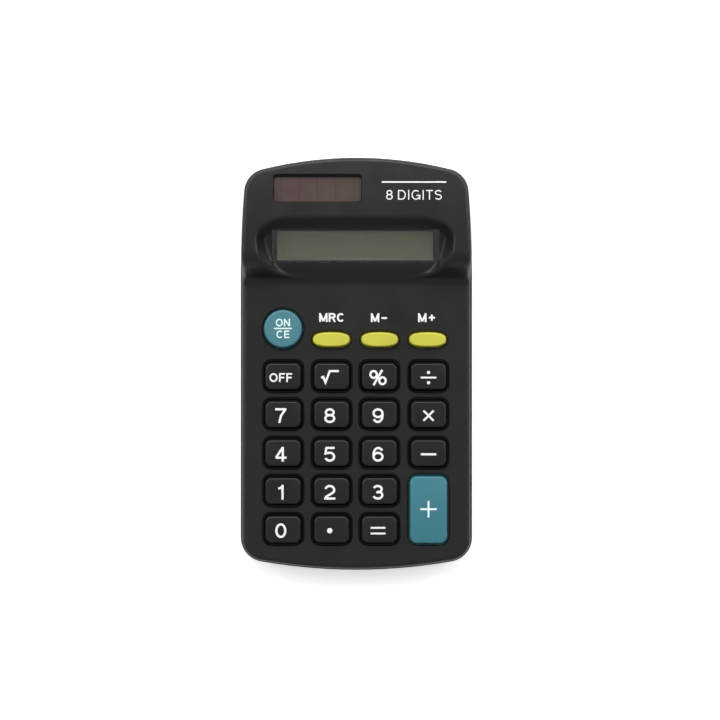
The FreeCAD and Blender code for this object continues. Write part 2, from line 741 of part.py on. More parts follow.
def rear_cover():
    outer = rear_outer()
    cover = outer.cut(plan_prism(RIM_WIDTH, PARTING_Z, 20))
    cover = cover.cut(plan_prism(WALL + 0.4, WALL, 20))
    zs = (WALL - 0.1, BAY_WALL_TOP_Z)
    outer_x = BAY_HALF_X + BAY_WALL
    bay = [
        box((-outer_x, outer_x), (BAY_LOW_Y - BAY_WALL, BAY_LOW_Y), zs),
        box((-outer_x, -BAY_HALF_X), (BAY_LOW_Y - 0.5, BAY_SIDE_END_Y), zs),
        box((BAY_HALF_X, outer_x), (BAY_LOW_Y - 0.5, BAY_SIDE_END_Y), zs),
    ]
    for wall in bay:
        cover = cover.fuse(wall)
    for x, y in CASE_SCREWS:
        cover = cover.fuse(post(x, y, 0.5, 3.6, 3.3).common(plan_prism(WALL / 2, 0, 20)))
    for x, y in CASE_SCREWS:
        cover = cover.cut(post(x, y, -1, SCREW_SEAT_Z, SCREW_RECESS_R)).cut(post(x, y, -1, 5, 1.2))
    cover = cover.cut(door_space(0, WALL + 0.15)).cut(tongue_space(DOOR_GAP))
    return cover.removeSplitter()


def battery_door():
    space = door_space(-DOOR_GAP, DOOR_THICK).fuse(tongue_space(0))
    door = rear_outer().common(space)
    for i in range(GRIP_COUNT):
        start = Vector(-GRIP_HALF_X, GRIP_LOW_Y + GRIP_PITCH * i, -0.1)
        door = door.cut(Part.makeCylinder(GRIP_R, 2 * GRIP_HALF_X, start, Vector(1, 0, 0)))
    base_y, tip_y = ARROW_Y
    corners = [(-ARROW_HALF_X, base_y), (ARROW_HALF_X, base_y), (0, tip_y)]
    arrow = prism(rounded_polygon(corners, [0.3] * 3, -1), 1 + ARROW_DEPTH)
    return door.cut(arrow).removeSplitter()


# ---------------------------------------------------------------- battery and its contacts
def aa_cell():
    shoulder = CELL_NEGATIVE_X + CELL_LENGTH - NUB_LENGTH
    along = Vector(1, 0, 0)
    can = Part.makeCylinder(
        CELL_R, shoulder - CELL_NEGATIVE_X, Vector(CELL_NEGATIVE_X, CELL_Y, CELL_Z), along
    )
    can = can.makeFillet(0.8, [e for e in can.Edges if len(e.Vertexes) == 1])
    nub = Part.makeCylinder(NUB_R, NUB_LENGTH + 0.5, Vector(shoulder - 0.5, CELL_Y, CELL_Z), along)
    nub = nub.makeFillet(0.4, pick(nub, lambda e: middle(e).x > shoulder + 1 and len(e.Vertexes) == 1))
    return can.fuse(nub).removeSplitter()


CONTACT_THICK = 0.3
CONTACT_X = BAY_HALF_X - 0.1


def contact_plate(side):
    """Sprung-steel plate against the bay's end wall, with a solder tab over the bay's wall."""
    xs = sorted((side * (CONTACT_X - CONTACT_THICK), side * CONTACT_X))
    plate = box(xs, (CELL_Y - 4.5, CELL_Y + 4.5), (3.0, 12.5))
    tab = box(xs, (CELL_Y - 6.5, CELL_Y - 4.0), (10.5, 12.3))
    return plate.fuse(tab).removeSplitter()


def positive_contact():
    reach = CONTACT_X - CONTACT_THICK - (CELL_NEGATIVE_X + CELL_LENGTH) - 0.05
    at = Vector(CONTACT_X - CONTACT_THICK - reach, CELL_Y, CELL_Z)
    bump = Part.makeCone(1.6, 3.0, reach + 0.05, at, Vector(1, 0, 0))
    return contact_plate(1).fuse(bump).removeSplitter()


def battery_spring():
    """Conical coil spring from the negative plate to the cell."""
    wire_r, turns, wide_r, narrow_r = 0.35, 3.5, 3.6, 2.0
    length = CELL_NEGATIVE_X + CONTACT_X - CONTACT_THICK - 2 * wire_r - 0.1
    cone = math.degrees(math.atan((narrow_r - wide_r) / length))
    coil = Part.makeHelix(length / turns, length, wide_r, cone)
    first = coil.Edges[0].valueAt(coil.Edges[0].FirstParameter)
    section = Part.Wire(Part.makeCircle(wire_r, first, Vector(0, 1, 0)))
    spring = Part.Wire(coil.Edges).makePipeShell([section], True, True)
    spring.rotate(Vector(0, 0, 0), Vector(0, 1, 0), 90)
    start = -CONTACT_X + CONTACT_THICK + wire_r + 0.05
    spring.translate(Vector(start, CELL_Y, CELL_Z))
    return spring


# ---------------------------------------------------------------- wires
WIRE_R = 0.45


def battery_wire(side):
    """From the contact's tab, over the bay's wall and round the screw post, to the board."""
    x = side * 27.4
    return tube([
        (x, CELL_Y - 6.0, 11.5), (x, 35.0, 11.3), (side * 26.9, 31.0, 8.6),
        (side * 24.6, 27.3, 6.9), (side * 24.4, 22.0, 6.9), (side * 25.2, 18.8, 6.3),
    ], WIRE_R)


def solar_wire(side):
    """From one end of the solar cell, over the AA cell, past the display, to the board."""
    start_x = SOLAR_CELL_X[0] + 1.0 if side < 0 else SOLAR_CELL_X[1] - 1.5
    over = [(-24.4, 46.2, 17.1)] if side < 0 else [(4.0, 46.4, 17.3), (15.0, 45.3, 17.4)]
    return tube([
        (start_x, 48.0, 16.75), *over, (side * 26.0, 44.6, 17.3),
        (side * 28.0, 41.0, 14.6), (side * 28.8, 36.5, 12.2), (side * 28.6, 32.6, 9.8),
        (side * 28.0, 30.0, 8.6), (side * 24.8, 27.4, 8.3), (side * 23.0, 22.0, 8.3),
        (side * 23.0, 18.6, 6.3),
    ], WIRE_R)


# ---------------------------------------------------------------- screws
def screw(x, y, seat_z, head_r, head_height, shank_r, length):
    """Pan-head screw driven upwards, with a cross in its head."""
    head = post(x, y, seat_z - head_height, seat_z, head_r)
    head = head.makeFillet(0.3, pick(head, lambda e: middle(e).z < seat_z - head_height + 0.01
                                     and len(e.Vertexes) == 1))
    whole = head.fuse(post(x, y, seat_z - 0.1, seat_z + length, shank_r))
    arm, slot = head_r * 0.6, 0.28
    low = seat_z - head_height - 1
    deep = seat_z - head_height * 0.45
    for half_x, half_y in ((arm, slot), (slot, arm)):
        whole = whole.cut(box((x - half_x, x + half_x), (y - half_y, y + half_y), (low, deep)))
    return whole.removeSplitter()


def case_screws():
    return Part.makeCompound([
        screw(x, y, SCREW_SEAT_Z - 0.02, 1.9, 1.3, 1.0, 6.8) for x, y in CASE_SCREWS
    ])


def board_screws():
    return Part.makeCompound([
        screw(x, y, BOARD_LOW_Z - 0.02, 1.5, 1.0, 0.8, 4.6) for x, y in BOARD_SCREWS
    ])


# ---------------------------------------------------------------- write every piece
save("front_cover", front_cover())
save("rear_cover", rear_cover())
save("battery_door", battery_door())
for each in KEYS:
    save(each.name, each.solid())
save("keypad_sheet", keypad_sheet())
save("carbon_pills", carbon_pills())
save("main_board", main_board())
save("chip_resin_blob", chip_resin_blob())
save("electrolytic_capacitor", electrolytic_capacitor())
save("ceramic_capacitor", ceramic_capacitor())
save("oscillator_resistor", axial_part(-14, -22, 0.85, 3.4))
save("diodes", Part.makeCompound([axial_part(16, 12, 0.85, 3.6), axial_part(-6, 14, 0.85, 3.6)]))
save("display_window", display_window())
save("lcd_panel", lcd_panel())
save("lcd_front_polariser", lcd_film(PANEL_TOP, PANEL_TOP + 0.18))
save("lcd_reflector", lcd_film(PANEL_TOP - 2 * GLASS_THICK - 0.2, PANEL_TOP - 2 * GLASS_THICK))
save("lcd_end_clips", lcd_end_clips())
save("lcd_ribbon", lcd_ribbon())
save("solar_cell", solar_cell())
save("solar_cell_pad", solar_cell_pad())
save("aa_cell", aa_cell())
save("positive_contact", positive_contact())
save("negative_contact", contact_plate(-1))
save("battery_spring", battery_spring())
save("battery_wire_red", battery_wire(1))
save("battery_wire_black", battery_wire(-1))
save("solar_wire_red", solar_wire(1))
save("solar_wire_black", solar_wire(-1))
save("case_screws", case_screws())
save("board_screws", board_screws())
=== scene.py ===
import math
import bmesh
import bpy
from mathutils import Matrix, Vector
from mathutils.geometry import delaunay_2d_cdt


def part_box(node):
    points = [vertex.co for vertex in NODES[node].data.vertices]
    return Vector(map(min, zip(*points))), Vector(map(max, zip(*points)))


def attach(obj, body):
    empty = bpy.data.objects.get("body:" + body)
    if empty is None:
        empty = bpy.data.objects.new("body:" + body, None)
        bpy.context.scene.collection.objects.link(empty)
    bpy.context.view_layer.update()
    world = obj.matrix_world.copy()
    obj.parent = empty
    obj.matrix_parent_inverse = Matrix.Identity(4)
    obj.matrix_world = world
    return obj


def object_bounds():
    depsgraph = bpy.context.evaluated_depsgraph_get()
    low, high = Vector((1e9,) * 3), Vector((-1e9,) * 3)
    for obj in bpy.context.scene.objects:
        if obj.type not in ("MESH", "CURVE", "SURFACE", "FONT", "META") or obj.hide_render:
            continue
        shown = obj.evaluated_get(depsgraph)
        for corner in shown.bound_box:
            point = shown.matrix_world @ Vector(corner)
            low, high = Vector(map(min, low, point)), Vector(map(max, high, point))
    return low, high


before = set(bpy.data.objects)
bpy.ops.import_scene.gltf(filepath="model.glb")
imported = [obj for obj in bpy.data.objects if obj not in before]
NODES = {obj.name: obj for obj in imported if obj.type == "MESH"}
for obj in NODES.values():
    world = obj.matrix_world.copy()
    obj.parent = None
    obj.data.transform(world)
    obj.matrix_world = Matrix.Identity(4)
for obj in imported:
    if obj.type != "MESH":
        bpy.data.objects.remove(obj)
CAD_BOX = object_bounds()

MM = 0.001
KEY_CROWN_R = 70 * MM          # the key tops are slightly domed
INK_THICK = 0.02 * MM
INK_SINK = 0.03 * MM           # how far the ink's underside goes into the surface
INK_STEP = 0.5 * MM            # length of the pieces that let a stroke follow a curved surface
DECK_Z = 11.8 * MM
BLOCK_TOP_R = 140 * MM         # the block's top is a shallow arch along Y
BLOCK_PEAK_Y = 38 * MM
SHARP_DEGREES = 30             # a bend sharper than this stays an edge


# ---------------------------------------------------------------- materials
def srgb(red, green, blue):
    """Linear colour of a screen colour given from 0 to 255."""
    def linear(v):
        v /= 255
        return v / 12.92 if v <= 0.04045 else ((v + 0.055) / 1.055) ** 2.4
    return (linear(red), linear(green), linear(blue), 1.0)


def scaled(colour, factor):
    return tuple(min(c * factor, 1.0) for c in colour[:3]) + (1.0,)


class Shader:
    """One principled material, with small helpers for its procedural detail."""

    def __init__(self, name, roughness=0.5, specular=0.5, **sockets):
        self.material = bpy.data.materials.new(name)
        self.material.use_nodes = True
        self.tree = self.material.node_tree
        self.main = self.tree.nodes["Principled BSDF"]
        self.main.inputs["Roughness"].default_value = roughness
        self.main.inputs["Specular IOR Level"].default_value = specular
        for socket, value in sockets.items():
            self.main.inputs[socket.replace("_", " ")].default_value = value
        self.place = self.tree.nodes.new("ShaderNodeTexCoord")

    def node(self, kind, **settings):
        made = self.tree.nodes.new(kind)
        for name, value in settings.items():
            setattr(made, name, value)
        return made

    def link(self, output, socket):
        self.tree.links.new(output, socket)

    def noise(self, per_metre, detail=2.0, stretch=(1, 1, 1), distortion=0.0):
        mapping = self.node("ShaderNodeMapping")
        mapping.inputs["Scale"].default_value = stretch
        self.link(self.place.outputs["Object"], mapping.inputs["Vector"])
        made = self.node("ShaderNodeTexNoise")
        made.inputs["Scale"].default_value = per_metre
        made.inputs["Detail"].default_value = detail
        made.inputs["Distortion"].default_value = distortion
        self.link(mapping.outputs["Vector"], made.inputs["Vector"])
        return made.outputs["Fac"]

    def ramp(self, factor, stops):
        made = self.node("ShaderNodeValToRGB")
        elements = made.color_ramp.elements
        while len(elements) < len(stops):
            elements.new(0.5)
        for element, (position, colour) in zip(elements, stops):
            element.position = position
            element.color = colour
        self.link(factor, made.inputs["Fac"])
        return made.outputs["Color"]

    def spread(self, factor, low, high):
        made = self.node("ShaderNodeMapRange")
        made.inputs["From Min"].default_value = 0.3
        made.inputs["From Max"].default_value = 0.7
        made.inputs["To Min"].default_value = low
        made.inputs["To Max"].default_value = high
        self.link(factor, made.inputs["Value"])
        return made.outputs["Result"]

    def mix(self, factor, colour_a, colour_b):
        made = self.node("ShaderNodeMix", data_type="RGBA")
        for socket, value in ((made.inputs[0], factor), (made.inputs[6], colour_a),
                              (made.inputs[7], colour_b)):
            if isinstance(value, bpy.types.NodeSocket):
                self.link(value, socket)
            else:
                socket.default_value = value
        return made.outputs[2]

    def colour(self, output):
        self.link(output, self.main.inputs["Base Color"])

    def rough(self, output):
        self.link(output, self.main.inputs["Roughness"])

    def bump(self, height, distance, strength):
        made = self.node("ShaderNodeBump")
        made.inputs["Distance"].default_value = distance
        made.inputs["Strength"].default_value = strength
        self.link(height, made.inputs["Height"])
        self.link(made.outputs["Normal"], self.main.inputs["Normal"])

    def math(self, operation, a, b=None):
        made = self.node("ShaderNodeMath", operation=operation)
        for socket, value in ((made.inputs[0], a), (made.inputs[1], b)):
            if isinstance(value, bpy.types.NodeSocket):
                self.link(value, socket)
            elif value is not None:
                socket.default_value = value
        return made.outputs["Value"]

    def axis(self, letter):
        """How far along the piece, from 0 to 1."""
        made = self.node("ShaderNodeSeparateXYZ")
        self.link(self.place.outputs["Generated"], made.inputs["Vector"])
        return made.outputs[letter]


def moulded(name, colour, rough=(0.42, 0.56), grain=2600, depth=0.012, specular=0.5):
    """Injection-moulded plastic: spark-eroded grain, faint flow marks, slight handling polish."""
    shader = Shader(name, specular=specular)
    flow = shader.noise(55, detail=3, stretch=(1, 0.35, 1), distortion=0.4)
    shader.colour(shader.ramp(flow, [(0.3, scaled(colour, 0.9)), (0.7, scaled(colour, 1.1))]))
    polish = shader.noise(130, detail=4)
    shader.rough(shader.spread(polish, *rough))
    fine = shader.noise(grain, detail=2.5)
    shader.bump(fine, depth * MM, 0.55)
    return shader.material


def printed_ink(name, colour):
    """Screen-printed ink: slightly uneven cover and a soft gloss."""
    shader = Shader(name, specular=0.4)
    cover = shader.noise(1500, detail=3)
    shader.colour(shader.ramp(cover, [(0.3, scaled(colour, 0.9)), (0.6, colour)]))
    shader.rough(shader.spread(shader.noise(900), 0.45, 0.6))
    shader.bump(cover, 0.006 * MM, 0.4)
    return shader.material


def metal(name, colour, rough=(0.22, 0.36), stretch=(1, 1, 1)):
    """Bare metal with fine brushing."""
    shader = Shader(name, Metallic=1.0)
    brush = shader.noise(1800, detail=3, stretch=stretch)
    shader.colour(shader.ramp(brush, [(0.3, scaled(colour, 0.8)), (0.7, colour)]))
    shader.rough(shader.spread(brush, *rough))
    shader.bump(brush, 0.004 * MM, 0.4)
    return shader.material


def lcd_face():
    """Blank liquid-crystal display: grey-green, paler at the seal round its edge."""
    shader = Shader("lcd_face", roughness=0.3, specular=0.3)
    base = srgb(133, 144, 113)
    mottle = shader.noise(90, detail=2, stretch=(1, 3, 1))
    body = shader.ramp(mottle, [(0.3, scaled(base, 0.95)), (0.7, scaled(base, 1.05))])
    seal_share = {"X": 0.062, "Y": 0.10}       # width of the seal, as a share of the panel
    near = []
    for letter, share in seal_share.items():
        from_middle = shader.math("ABSOLUTE", shader.math("SUBTRACT", shader.axis(letter), 0.5))
        near.append(shader.math("LESS_THAN", shader.math("SUBTRACT", 0.5, from_middle), share))
    seal = shader.math("MAXIMUM", *near)
    shader.colour(shader.mix(seal, body, srgb(147, 153, 129)))
    fine = shader.noise(6000, detail=1)
    shader.rough(shader.spread(fine, 0.24, 0.36))
    return shader.material


def solar_face():
    """Amorphous cell behind glass: brown strips parted by thin darker lines."""
    shader = Shader("solar_face", roughness=0.25, specular=0.5, Coat_Weight=0.3)
    shader.main.inputs["Coat Roughness"].default_value = 0.08
    across = shader.axis("X")
    tint = shader.ramp(
        across, [(0.0, srgb(74, 54, 55)), (0.55, srgb(70, 55, 50)), (1.0, srgb(70, 60, 50))])
    cloud = shader.noise(160, detail=3)
    clouds = shader.ramp(cloud, [(0.3, srgb(60, 46, 48)), (0.7, srgb(82, 68, 62))])
    tint = shader.mix(0.35, tint, clouds)
    strips, line_half_share = 5, 0.02
    phase = shader.math("FRACT", shader.math("MULTIPLY", across, strips))
    from_line = shader.math("ABSOLUTE", shader.math("SUBTRACT", phase, 0.5))
    line = shader.math("LESS_THAN", from_line, line_half_share)
    shader.colour(shader.mix(line, tint, srgb(60, 46, 45)))
    shader.rough(shader.spread(cloud, 0.18, 0.3))
    return shader.material


def clear_plastic():
    """Polished acrylic window, with the faintest haze."""
    shader = Shader("clear_window", roughness=0.04, Transmission_Weight=1.0, IOR=1.49)
    haze = shader.noise(400, detail=2)
    shader.rough(shader.spread(haze, 0.02, 0.07))
    return shader.material


def board_laminate():
    shader = Shader("board_laminate", roughness=0.5, specular=0.4)
    weave = shader.noise(1400, detail=2, stretch=(1, 0.3, 1))
    shader.colour(shader.ramp(weave, [(0.35, srgb(150, 110, 62)), (0.65, srgb(172, 130, 78))]))
    shader.rough(shader.spread(weave, 0.4, 0.6))
    shader.bump(weave, 0.01 * MM, 0.4)
    return shader.material


def cell_wrap():
    """Printed sleeve of a plain dry cell: blue from one end, silver at the other, bare caps."""
    shader = Shader("cell_wrap", roughness=0.3, specular=0.6, Coat_Weight=0.5)
    along = shader.axis("X")
    shade = shader.noise(300, detail=3)
    silver = shader.ramp(shade, [(0.3, srgb(150, 152, 156)), (0.7, srgb(178, 180, 184))])
    band_end, middle, half_sleeve = 0.68, 0.48, 0.468      # shares of the cell's length
    band = shader.math("LESS_THAN", along, band_end)
    tinted = shader.mix(band, silver, srgb(40, 66, 120))
    from_middle = shader.math("ABSOLUTE", shader.math("SUBTRACT", along, middle))
    ends = shader.math("GREATER_THAN", from_middle, half_sleeve)
    shader.colour(shader.mix(ends, tinted, srgb(190, 188, 184)))
    shader.rough(shader.spread(shade, 0.22, 0.4))
    return shader.material


def key_plastic(name, colour, rough=(0.35, 0.48), specular=0.5):
    """The keys have a finer grain than the case."""
    return moulded(name, colour, rough=rough, grain=3600, depth=0.006, specular=specular)


def make_materials():
    return {
        "case": moulded("case_black", srgb(17, 17, 17), rough=(0.36, 0.46), specular=0.4),
        "key": key_plastic("key_black", srgb(16, 16, 16), rough=(0.32, 0.42), specular=0.4),
        "teal": key_plastic("key_teal", srgb(63, 118, 128)),
        "teal_deep": key_plastic("key_teal_deep", srgb(48, 109, 121)),
        "yellow": key_plastic("key_yellow", srgb(184, 181, 61)),
        "ink": printed_ink("ink_white", srgb(228, 230, 231)),
        "pale_ink": printed_ink("ink_on_teal", srgb(214, 232, 236)),
        "silicone": moulded("silicone_grey", srgb(150, 152, 152), rough=(0.6, 0.75), specular=0.3),
        "carbon": moulded("carbon_pill", srgb(28, 28, 28), rough=(0.6, 0.8), specular=0.3),
        "board": board_laminate(),
        "resin": moulded("resin_black", srgb(22, 22, 23), rough=(0.12, 0.25), grain=300,
                         depth=0.03),
        "sleeve": moulded("capacitor_sleeve", srgb(30, 44, 92), rough=(0.25, 0.4)),
        "ceramic": moulded("ceramic_orange", srgb(196, 120, 50), rough=(0.3, 0.5), grain=900,
                           depth=0.02),
        "resistor": moulded("resistor_beige", srgb(200, 176, 132), rough=(0.3, 0.5)),
        "diode": moulded("diode_orange", srgb(200, 110, 50), rough=(0.1, 0.2)),
        "clip": moulded("clip_black", srgb(34, 34, 35), rough=(0.5, 0.65)),
        "ribbon": moulded("ribbon_brown", srgb(86, 66, 44), rough=(0.3, 0.45), grain=700),
        "foam": moulded("foam_dark", srgb(52, 52, 54), rough=(0.8, 0.95), grain=1200, depth=0.1),
        "glass": clear_plastic(),
        "lcd": lcd_face(),
        "solar": solar_face(),
        "reflector": metal("reflector_grey", srgb(150, 154, 142), rough=(0.4, 0.55)),
        "screw": metal("screw_steel", srgb(150, 150, 152), stretch=(1, 1, 4)),
        "spring": metal("contact_steel", srgb(190, 188, 182)),
        "cell": cell_wrap(),
        "red": moulded("wire_red", srgb(176, 28, 26), rough=(0.35, 0.5)),
        "black": moulded("wire_black", srgb(30, 30, 30), rough=(0.35, 0.5)),
    }


MATERIALS = make_materials()


def smooth(piece):
    """Smooth shading that keeps flat faces flat and real edges sharp."""
    piece.data.shade_smooth()
    weighted = piece.modifiers.new("weighted_normals", "WEIGHTED_NORMAL")
    weighted.keep_sharp = True
    weighted.weight = 60
    sharpen(piece.data, math.radians(SHARP_DEGREES))


def sharpen(mesh, angle):
    """Mark edges sharper than the angle, without touching the mesh's shape."""
    shape = bmesh.new()
    shape.from_mesh(mesh)
    limit = [e.calc_face_angle(math.pi) > angle for e in shape.edges]
    shape.free()
    if "sharp_edge" not in mesh.attributes:
        mesh.attributes.new("sharp_edge", "BOOLEAN", "EDGE")
    mesh.attributes["sharp_edge"].data.foreach_set("value", limit)


def dress_cad_nodes():
    chosen = {
        "front_cover": "case", "rear_cover": "case", "battery_door": "case",
        "keypad_sheet": "silicone", "carbon_pills": "carbon", "main_board": "board",
        "chip_resin_blob": "resin", "electrolytic_capacitor": "sleeve",
        "ceramic_capacitor": "ceramic", "oscillator_resistor": "resistor", "diodes": "diode",
        "display_window": "glass", "lcd_panel": "clip", "lcd_front_polariser": "lcd",
        "lcd_reflector": "reflector", "lcd_end_clips": "clip", "lcd_ribbon": "ribbon",
        "solar_cell": "solar", "solar_cell_pad": "foam", "aa_cell": "cell",
        "positive_contact": "spring", "negative_contact": "spring", "battery_spring": "spring",
        "battery_wire_red": "red", "solar_wire_red": "red", "battery_wire_black": "black",
        "solar_wire_black": "black", "case_screws": "screw", "board_screws": "screw",
        "key_plus": "teal_deep", "key_on_ce": "teal",
    }
    for name, node in NODES.items():
        if name.startswith("key_memory"):
            look = "yellow"
        else:
            look = chosen.get(name, "key")
        node.data.materials.clear()
        node.data.materials.append(MATERIALS[look])
        smooth(node)


# ---------------------------------------------------------------- lettering
def arc(x, y, rx, ry, start, end, steps=None):
    """Points of an elliptic arc, from one angle to another in degrees."""
    steps = steps or max(4, round(abs(end - start) / 12))
    angles = [math.radians(start + (end - start) * i / steps) for i in range(steps + 1)]
    return [(x + rx * math.cos(a), y + ry * math.sin(a)) for a in angles]


def glyph(letter, t, w):
    """A letter's strokes as centre lines, for cap height 1, stroke t and overall width w.
    Each stroke is (points, closed)."""
    l, r, b, u = t / 2, w - t / 2, t / 2, 1 - t / 2
    mx, rx = (l + r) / 2, (r - l) / 2
    full = (u - b) / 2
    if letter in "0O":
        return [(arc(mx, 0.5, rx, full, 0, 360, 36)[:-1], True)]
    if letter == "1":
        x = w * 0.62
        flag = [(x, 0.98 - t / 2), (x - 0.12, 0.80), (x - 0.29, 0.755)]
        return [([(x, 0), (x, 1)], False), (flag, False)]
    if letter == "2":
        top = arc(mx, u - 0.27, rx, 0.27, 165, -38)
        return [(top + [(l + 0.05, b + 0.12), (l, b)], False), ([(0, b), (w, b)], False)]
    if letter == "3":
        upper = arc(mx - 0.01, u - 0.215, rx * 0.9, 0.215, 160, -90)
        lower = arc(mx, b + 0.235, rx, 0.235, 90, -160)
        return [(upper + [(mx - 0.1, 0.525)], False), (lower, False)]
    if letter == "4":
        x, bar = w * 0.70, 0.27
        return [([(x, 0), (x, 1)], False), ([(l - 0.03, bar), (w + 0.03, bar)], False),
                ([(x - 0.01, u + 0.03), (l - 0.01, bar)], False)]
    if letter == "5":
        bowl = arc(mx, b + 0.26, rx, 0.27, 128, -158)
        left = [(l + 0.07, u), (l + 0.01, 0.46)]
        return [([(l + 0.03, u), (w - 0.04, u)], False), (left, False), (bowl, False)]
    if letter == "6":
        bowl = arc(mx, b + 0.26, rx, 0.26, 0, 360, 32)[:-1]
        back = arc(mx + 0.02, 0.5, rx + 0.02, full, 35, 180) + arc(mx, b + 0.30, rx, 0.30, 180, 200)
        return [(bowl, True), (back, False)]
    if letter == "9":
        return [([(w - x, 1 - y) for x, y in pts], closed) for pts, closed in glyph("6", t, w)]
    if letter == "7":
        leg = [(r + 0.02, u), (w * 0.52, 0.48), (w * 0.36, 0)]
        return [([(0, u), (w, u)], False), (leg, False)]
    if letter == "8":
        return [(arc(mx, u - 0.205, rx * 0.88, 0.205, 0, 360, 30)[:-1], True),
                (arc(mx, b + 0.235, rx, 0.235, 0, 360, 32)[:-1], True)]
    if letter == "F":
        return [([(l, 0), (l, 1)], False), ([(0, u), (w, u)], False),
                ([(l, 0.5), (w * 0.9, 0.5)], False)]
    if letter == "E":
        bars = [([(0, y), (w, y)], False) for y in (b, u)]
        return [([(l, 0), (l, 1)], False), ([(l, 0.51), (w * 0.93, 0.51)], False)] + bars
    if letter == "N":
        return [([(l, 0), (l, 1)], False), ([(r, 0), (r, 1)], False),
                ([(l, u + 0.02), (r, b - 0.02)], False)]
    if letter == "M":
        return [([(l, 0), (l, 1)], False), ([(r, 0), (r, 1)], False),
                ([(l, u + 0.03), (mx, b - 0.02)], False), ([(r, u + 0.03), (mx, b - 0.02)], False)]
    if letter == "C":
        return [(arc(mx, 0.5, rx, full, 42, 318), False)]
    if letter == "G":
        return [(arc(mx, 0.5, rx, full, 48, 352), False), ([(mx + 0.05, 0.44), (w, 0.44)], False),
                ([(r, 0.48), (r, 0.02)], False)]
    if letter == "R":
        bowl = [(l, u)] + arc(r - 0.24, (u + 0.5) / 2, 0.24, (u - 0.5) / 2, 90, -90) + [(l, 0.5)]
        return [([(l, 0), (l, 1)], False), (bowl, False), ([(r - 0.25, 0.5), (r, 0)], False)]
    if letter == "D":
        bowl = [(l, u)] + arc(r - 0.36, 0.5, 0.36, full, 90, -90) + [(l, b)]
        return [([(l, 0), (l, 1)], False), (bowl, False)]
    if letter == "I":
        return [([(w / 2, 0), (w / 2, 1)], False)]
    if letter == "T":
        return [([(w / 2, 0), (w / 2, 1)], False), ([(0, u), (w, u)], False)]
    if letter == "S":
        upper = arc(mx, u - 0.215, rx * 0.94, 0.215, 25, 250)
        lower = arc(mx, b + 0.225, rx, 0.225, 70, -155)
        return [(upper + lower, False)]
    raise ValueError(letter)


def moved(strokes, dx):
    """The same strokes, further to the right."""
    return [([(x + dx, y) for x, y in points], closed) for points, closed in strokes]


def percent(t):
    """Percent sign in a box 1 high and 1.14 wide."""
    w = 1.14
    small = (0.21, 0.225)
    return [
        (arc(t / 2 + small[0], 1 - t / 2 - small[1], *small, 0, 360, 24)[:-1], True),
        (arc(w - t / 2 - small[0], t / 2 + small[1], *small, 0, 360, 24)[:-1], True),
        ([(w * 0.24, 0), (w * 0.74, 1)], False),
    ]


CAPITALS = {"other": 0.72, "O": 0.92, "F": 0.66, "M": 0.94, "N": 0.80, "I": 0.2, "C": 0.86,
            "R": 0.80, "E": 0.68, "G": 0.90, "D": 0.80, "T": 0.70, "S": 0.74, "8": 0.68}
SPACE_WIDTH = 0.35


def word(text, t, gap):
    """Strokes of letters side by side, for cap height 1."""
    strokes, x = [], 0.0
    for letter in text:
        if letter == " ":
            x += SPACE_WIDTH
            continue
        w = CAPITALS.get(letter, CAPITALS["other"])
        strokes += moved(glyph(letter, t, w), x)
        x += w + gap
    return strokes


def ribbon(points, closed, width):
    """Corners of the quads that make a stroke of constant width, mitred at its bends."""
    count = len(points)
    line = [Vector(p) for p in points]
    sides = []
    for i, point in enumerate(line):
        before = line[i - 1] if i or closed else None
        after = line[(i + 1) % count] if i < count - 1 or closed else None
        headings = [(b - a).normalized() for a, b in ((before, point), (point, after))
                    if a is not None and b is not None]
        heading = sum(headings, Vector((0, 0))).normalized()
        normal = Vector((-heading.y, heading.x))
        stretch = 1 / max(heading.dot(headings[0]), 0.4)
        sides.append((point + normal * width / 2 * stretch, point - normal * width / 2 * stretch))
    last = count if closed else count - 1
    return [
        (sides[i][1], sides[(i + 1) % count][1], sides[(i + 1) % count][0], sides[i][0])
        for i in range(last)
    ]


def refined(points, closed, step):
    """The same line with extra points, no further apart than a step."""
    ends = points[1:] + points[:1] if closed else points[1:]
    made = []
    for (ax, ay), (bx, by) in zip(points, ends):
        parts = max(1, math.ceil(math.hypot(bx - ax, by - ay) / step))
        made += [(ax + (bx - ax) * i / parts, ay + (by - ay) * i / parts) for i in range(parts)]
    return made if closed else made + [points[-1]]


def flat_union(quads):
    """Triangles that cover overlapping quads once: points and faces."""
    points, faces = [], []
    for quad in quads:
        area = sum(a.cross(b) for a, b in zip(quad, quad[1:] + quad[:1]))
        ordered = quad if area > 0 else quad[::-1]
        faces.append(list(range(len(points), len(points) + 4)))
        points += [p.copy() for p in ordered]
    coords, _, cover, _, _, parents = delaunay_2d_cdt(points, [], faces, 1, 1e-5)
    return coords, [face for face, inside in zip(cover, parents) if inside]


